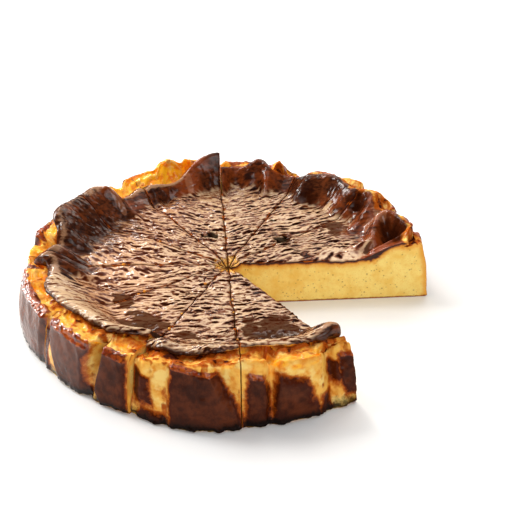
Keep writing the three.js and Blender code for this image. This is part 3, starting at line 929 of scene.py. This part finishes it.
def makeCrust(colours):
    board = Board("bakedCrust", colours)
    layer, blend, coats = board.layer, board.blend, board.coats
    broad = board.grain(20, 3) - 0.5
    middle = board.grain(5, 5) - 0.5
    fine = board.grain(1.1, 4, 0.6) - 0.5
    streak = board.grain(2.4, 4, 0.6, 0.4, (0.4, 1.0, 1.0)) - 0.5

    # burnt skin of the top: painted shade on the wrinkles' slopes that face the front and in their cracks,
    # and pale flats between them, partly painted sheen
    wrinkleShade = layer("wrinkleShade")
    flatSheen = 1 - wrinkleShade + 0.6 * streak + 0.5 * fine + 0.6 * broad + 0.3 * layer("crestSheen")
    sideways, across, up = (board.along(axis) for axis in "XYZ")
    ruddy = (1 - board.smooth(sideways + 60 * broad, -75, -5)) * (1 - board.smooth(up, 33, 37))
    darkTone = blend(ruddy, "plateDark", "ruddyDark")
    paleAndSheenTone = blend(ruddy, "platePaleAndSheen", "ruddyPaleAndSheen")
    plate = coats(darkTone, ("plateMid", flatSheen, 0.2, 0.66), (paleAndSheenTone, flatSheen, 0.55, 1.15))
    # dark smooth patches: painted shade where the skin tilts towards the front
    calmShade = board.smooth(layer("calmShade") + 0.9 * streak, 0.2, 0.65)
    plate = blend(0.9 * calmShade, plate, "calmShade")
    # rim skin: dark, mid and warm tones, then painted sheen on its crest
    rimSkin = coats("rimDark", ("rimMid", streak + 0.6 * broad, -0.2, 0.2),
                    ("rimWarm", broad + 0.6 * streak + 0.45 * layer("warm"), 0.05, 0.5, 0.85),
                    ("rimPaintedSheen", layer("crestSheen") + 1.2 * streak + 0.4 * fine, 0.25, 0.7, 0.9))
    # painted shade in the rim's hollows and on faces turned from the light, then painted highlights
    rimSkin = blend(0.85 * layer("hollowShade"), rimSkin, "rimDark")
    rimSkin = coats(rimSkin, ("rimGlint", layer("glint") + 0.6 * streak, 0.3, 0.8, 0.4))
    skin = blend(layer("plate"), rimSkin, plate)
    skin = coats(skin, ("char", layer("pit"), 0.1, 0.7, 0.88))

    # cream that shows: ledge, creases
    yellow = coats("cream", ("creamDeep", middle, -0.1, 0.2), ("creamPale", board.grain(9, 3), 0.5, 0.66))
    low = 1 - board.smooth(up, 27, 37)
    bare = (1 - board.smooth(layer("toast"), 0.1, 0.4)) * (1 - low)
    glossy = coats("glossyYellow", ("glossyOrange", middle + 0.4 * fine, -0.08, 0.12))
    yellow = blend(bare, yellow, glossy)
    # how toasted the cream is, plus painted shade under the lip
    heatAndShade = layer("toast") + 1.3 * (board.grain(6, 5, 0.6) - 0.5) + 0.5 * layer("shade") - 0.35 * layer("wall")
    heatAndShade = heatAndShade * (1 - 0.5 * bare) + 0.3 * low * board.smooth(across, -20, 50)
    yellow = coats(yellow, ("toast", heatAndShade, 0.3, 0.75), ("toastDark", heatAndShade + 0.4 * fine, 0.8, 1.15))

    # panels of the wall
    warm = layer("panel") + 3.4 * middle + 1.6 * fine
    panelTone = coats("panelDark", ("panelMid", broad + 0.5 * middle + 0.3 * fine, -0.2, 0.25))
    # panels on the left get painted light from the lamp on that side, and the fold lines are lighter
    lit = 0.6 * layer("sheen") * (middle + 0.5) + 0.2 * layer("foldLine")
    panelTone = blend(lit, panelTone, "panelPaintedLight")
    wall = coats(yellow, ("toast", warm, -2.6, -0.4), ("toastDark", warm, -0.9, 0.8),
                 (panelTone, warm, 0.6, 2.4), ("char", up - 9 * middle - 4 * fine, 8.0, 2.5, 0.94))

    crumb = blend(layer("wall"), yellow, wall)
    bandTone = coats("band", ("toast", middle + 0.4 * fine, -0.12, 0.16),
                     ("toastDark", board.grain(3, 3), 0.48, 0.62, 0.8))
    crumb = coats(crumb, (bandTone, layer("band") + 1.2 * middle, 0.3, 0.75))

    # torn middle and the edges of the cuts
    tornTone = coats("toastDark", ("toast", middle + 0.5 * fine, -0.15, 0.05), ("cream", fine, -0.1, 0.04))
    skin = blend(layer("torn"), skin, tornTone)
    edgeGlow = board.smooth(layer("cutEdge"), 0.35, 0.9) * board.smooth(board.grain(4, 4), 0.52, 0.62)
    skin = blend(layer("cutEdge") * 0.75, skin, "edge")
    skin = blend(edgeGlow, skin, "toast")
    colour = blend(layer("skin"), crumb, skin)

    plateRough = 0.5 + 0.25 * fine
    rimRough = 0.4 + 0.3 * middle
    skinRough = rimRough + layer("plate") * (plateRough - rimRough) - 0.25 * layer("wet")
    wallRough = 0.45 + 0.2 * board.smooth(warm, 0, 2) - 0.15 * layer("band")
    rough = wallRough + layer("skin") * (skinRough - wallRough)
    shine = board.smooth(board.grain(7, 4), 0.4, 0.66)
    rimCoat = 0.25 + 0.5 * shine + 0.7 * layer("glint") - 0.3 * layer("hollowShade")
    plateCoat = 0.75 * (1 - wrinkleShade) * (1 - calmShade)
    skinCoat = rimCoat + layer("plate") * (plateCoat - rimCoat)
    skinCoat = (skinCoat * (1 - layer("cutEdge")) + 0.9 * layer("wet")) * (1 - layer("pit"))
    wallCoat = 0.08 + 0.82 * layer("sheen") * layer("wall") + 0.5 * layer("band") + 0.4 * bare
    coat = wallCoat + layer("skin") * (skinCoat - wallCoat)
    return board.finish(
        {"Base Color": colour, "Roughness": rough, "IOR": 1.45, "Specular IOR Level": 0.0,
         "Coat Weight": coat, "Coat Roughness": 0.14},
        [(board.grain(2.2, 3), 0.4, 0.35), (board.grain(0.6, 3, 0.65), 0.2, 0.4)],
    )


creamColours = {
    "cream": (252, 222, 126),
    "creamShade": (244, 198, 92),
    "golden": (232, 152, 38),
    "toast": (146, 70, 22),
    "skin": (50, 20, 9),
    "speck": (146, 88, 30),
}


def makeCream(colours):
    board = Board("cutCream", colours)
    top, side, up = board.layer("skinDepth"), board.layer("sideDepth"), board.along("Z")
    middle, fine = board.grain(9, 3), board.grain(0.9, 3, 0.6)
    colour = board.coats("cream", ("creamShade", middle, 0.35, 0.7), ("creamShade", fine, 0.5, 0.75))
    pores = board.smooth(board.cells(2.3) + 0.35 * board.smooth(board.grain(6, 4), 0.42, 0.6), 0.12, 0.34)
    colour = board.blend(0.55 * (1 - pores), colour, "speck")
    wobble = 1.6 * (board.grain(3.5, 4, 0.6) - 0.5)
    colour = board.coats(
        colour, ("golden", top + 2 * wobble, 6.0, 1.4, 0.9), ("golden", side + 2 * wobble, 5.0, 0.5, 0.8),
        ("toast", top + wobble, 2.9, 1.0), ("skin", top + wobble, 1.7, 0.6),
        ("toast", side + 0.6 * wobble, 0.55, 0.1, 0.4), ("toast", up + wobble, 1.4, 0.4))
    return board.finish(
        {"Base Color": colour, "Roughness": 0.5 + 0.3 * (fine - 0.5), "IOR": 1.45, "Specular IOR Level": 0.3},
        [(pores, 0.3, 0.5), (board.grain(0.5, 3, 0.65), 0.2, 0.45)],
    )


crust, cream = makeCrust(crustColours), makeCream(creamColours)
print("materials made")

for index in range(len(cake["cuts"]) - 1):
    piece = buildSlice(index)
    piece.data.materials.append(crust)
    piece.data.materials.append(cream)
    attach(piece, "root")
    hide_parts(f"slice_{index + 1:02d}")
    print(f"slice {index + 1} built, {len(piece.data.polygons)} faces")


# crumbs that the knife left, and a few that broke off at the foot: azimuth, radius, size
crumbLook = {
    "places": ((178.9, 65.6, 1.3), (210.8, 59.6, 1.2), (211.2, 64, 0.8), (238.9, 27.3, 1), (273.3, 41.6, 0.8),
               (273, 55, 0.6), (272.8, 72.6, 0.9), (273.4, 84, 0.7), (243.2, 62, 0.7), (147.3, 52, 0.8),
               (92.7, 60, 0.7), (66.8, 71, 0.7), (122.3, 44, 0.6), (243.8, 79, 1), (207.4, 125.2, 1.9),
               (211.4, 123.6, 1.5), (232.5, 121.5, 1.4), (273.4, 127, 1.2), (246.2, 124.2, 1.4)),
    "flatness": 0.55,
    "roughness": 0.45,
    "toast": 0.55,
    "rings": 7,
    "around": 10,
}


def skinHeight(azimuth, radius):
    points, place = fineSection(np.array([float(azimuth)]))
    top = points[0, place >= marks["crest"]]
    return float(np.interp(radius, top[::-1, 0], top[::-1, 1]))


def buildCrumbs(look):
    down = np.linspace(0, np.pi, look["rings"] + 2)[1:-1, None]
    around = np.linspace(0, 360, look["around"], endpoint=False)
    sides = np.stack([*polar(around, np.sin(down)), np.cos(down) + 0 * around], axis=-1)
    ball = np.vstack([(0, 0, 1), sides.reshape(-1, 3), (0, 0, -1)])
    last, count = len(ball) - 1, look["around"]
    ballFaces = []
    for at in range(count):
        onward = (at + 1) % count
        ballFaces.append([0, 1 + at, 1 + onward])
        ballFaces.append([last, last - count + onward, last - count + at])
        for ring in range(look["rings"] - 1):
            first = 1 + ring * count
            ballFaces.append([first + at, first + count + at, first + count + onward, first + onward])
    corners, faces = [], []
    for number, (azimuth, radius, size) in enumerate(look["places"]):
        onFloor = radius > 118
        rest = 0.0 if onFloor else skinHeight(azimuth, radius)
        lump = 1 + look["roughness"] * grain(*(1.4 * ball + 7.3 * number).T)[:, None]
        lump = lump + 0.5 * look["roughness"] * grain(*(3.1 * ball + 5.1 * number).T)[:, None]
        blob = ball * lump * size * (1, 1, look["flatness"])
        x, y = polar(azimuth, radius)
        lift = -blob[:, 2].min() if onFloor else 0.35 * size
        faces += [[corner + len(ball) * number for corner in face] for face in ballFaces]
        corners.append(blob + (x, y, rest + lift))
    corners = np.vstack(corners) * mm
    return addMesh("crumbs", corners.tolist(), faces, {"toast": np.full(len(corners), look["toast"])})


crumbs = buildCrumbs(crumbLook)
crumbs.data.materials.append(crust)
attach(crumbs, "root")
print("crumbs built")


stageSettings = {
    "floorSize": 6.0,
    "floorColour": (0.97, 0.97, 0.97, 1),
    "world": (1.0, 1.0, 1.0, 1),
    "worldStrength": 0.14,
}
lamps = (
    # name, place, aim, width, height, power, colour
    ("overhead", (0.1, 0.1, 1.5), (0, 0, 0), 1.8, 1.4, 8, (1, 1, 1)),
    ("backPanel", (0.0, 1.05, 0.88), (0, 0, 0.03), 2.4, 0.8, 18, (1, 0.95, 0.88)),
    ("backWindow", (-0.5, 1.2, 0.66), (0, 0, 0.03), 0.3, 0.3, 7, (1, 0.97, 0.93)),
    ("keySoftbox", (-0.75, 0.35, 0.95), (0, 0, 0.03), 0.35, 0.35, 7, (1, 0.98, 0.95)),
    ("leftStrip", (-1.2, 0.5, 0.4), (0, 0, 0.03), 0.5, 0.34, 12, (1, 0.99, 0.97)),
    ("frontFill", (0.45, -1.3, 0.75), (0, 0, 0.03), 1.2, 0.8, 9, (1, 1, 1)),
)


def makeStage(settings):
    half = settings["floorSize"] / 2
    corners = [(-half, -half, 0), (half, -half, 0), (half, half, 0), (-half, half, 0)]
    floor = addMesh("floor", corners, [(0, 1, 2, 3)], {})
    paint = bpy.data.materials.new("paleFloor")
    paint.use_nodes = True
    shader = paint.node_tree.nodes["Principled BSDF"]
    shader.inputs["Base Color"].default_value = settings["floorColour"]
    shader.inputs["Roughness"].default_value = 0.8
    floor.data.materials.append(paint)
    world = bpy.data.worlds.new("studio")
    world.use_nodes = True
    sky = world.node_tree.nodes["Background"].inputs
    sky["Color"].default_value = settings["world"]
    sky["Strength"].default_value = settings["worldStrength"]
    bpy.context.scene.world = world
    bpy.context.scene.view_settings.view_transform = "Standard"


def makeLamps():
    for name, place, aim, width, height, power, colour in lamps:
        data = bpy.data.lights.new(name, "AREA")
        data.shape = "RECTANGLE"
        data.size, data.size_y = width, height
        data.energy = power
        data.color = colour
        lamp = addObject(name, data)
        lamp.location = place
        aimAt(lamp, aim)


makeStage(stageSettings)
makeLamps()
print("stage and lights set")

bpy.context.view_layer.update()
